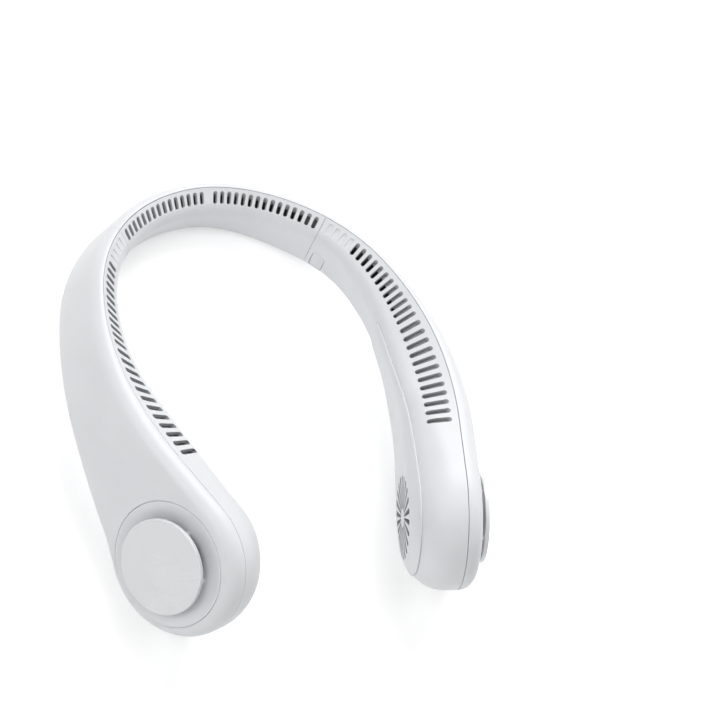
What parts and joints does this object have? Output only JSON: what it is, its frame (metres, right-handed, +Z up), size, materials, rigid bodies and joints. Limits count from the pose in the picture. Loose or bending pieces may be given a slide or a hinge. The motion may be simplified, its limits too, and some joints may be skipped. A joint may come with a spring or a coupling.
{
  "type": "neck fan",
  "caption": "Bladeless neck fan: a rear band with two arms that end in round paddles, each with a turning centrifugal fan, a capped intake and a row of air slots.",
  "frame": {"origin": "centre of the bounding box seen from above, at the height of the lowest point, with the fan lying on the lower edges of its paddles and band", "axes": "+Z up, -Y forwards to the paddles, +Y back to the neck band, +X to the right as seen from the front, which is the wearer's left"},
  "size_m": [0.1858, 0.2054, 0.0633],
  "materials": {
    "shell": "satin",
    "cap": "satin gloss",
    "housing": "matte",
    "fan": "matte",
    "steel": "plain",
    "magnet": "matte",
    "winding": "enamelled copper",
    "brass": "sintered",
    "cell": "film wrapped",
    "board": "lacquered",
    "wire": "matte",
    "button": "satin",
    "dark": "matte",
    "clear": "translucent"
  },
  "bodies": {
    "shells": {"neck_band_outer": "shell", "neck_band_inner": "shell", "wiring_harness": "wire", "right_arm_outer": "shell", "right_arm_inner": "shell", "right_inner_panel": "shell", "right_intake_ring": "shell", "right_intake_cap": "cap", "right_motor_stator": "winding", "right_motor_bush": "brass", "right_scroll_housing": "housing", "right_battery_cell": "cell", "right_shell_screws": "steel", "right_joint_sleeve": "housing", "right_joint_screw": "steel", "right_joint_plug": "shell", "left_arm_outer": "shell", "left_arm_inner": "shell", "left_inner_panel": "shell", "left_intake_ring": "shell", "left_intake_cap": "cap", "left_motor_stator": "winding", "left_motor_bush": "brass", "left_scroll_housing": "housing", "left_battery_cell": "cell", "left_shell_screws": "steel", "left_joint_sleeve": "housing", "left_joint_screw": "steel", "left_joint_plug": "shell", "control_board": "board", "board_screws": "steel", "charging_socket": "steel", "button_switch": "dark", "light_guide": "clear"},
    "right_fan": {"right_fan_wheel": "fan", "right_motor_can": "steel", "right_motor_magnet": "magnet", "right_motor_shaft": "steel"},
    "left_fan": {"left_fan_wheel": "fan", "left_motor_can": "steel", "left_motor_magnet": "magnet", "left_motor_shaft": "steel"},
    "button": {"power_button": "button"}
  },
  "joints": [
    {"name": "right_fan_spin", "type": "hinge", "parent": "shells", "child": "right_fan", "pos_m": [0.06877, -0.07153, 0.03145], "axis": [0.9018, -0.2538, 0.3498], "continuous": true},
    {"name": "left_fan_spin", "type": "hinge", "parent": "shells", "child": "left_fan", "pos_m": [-0.06877, -0.07153, 0.03145], "axis": [-0.9018, -0.2538, 0.3498], "continuous": true},
    {"name": "button_press", "type": "slide", "parent": "shells", "child": "button", "axis": [-0.356, -0.1056, 0.9285], "range_m": [0, 0.0006], "stiffness_N_per_m": 2000}
  ]
}
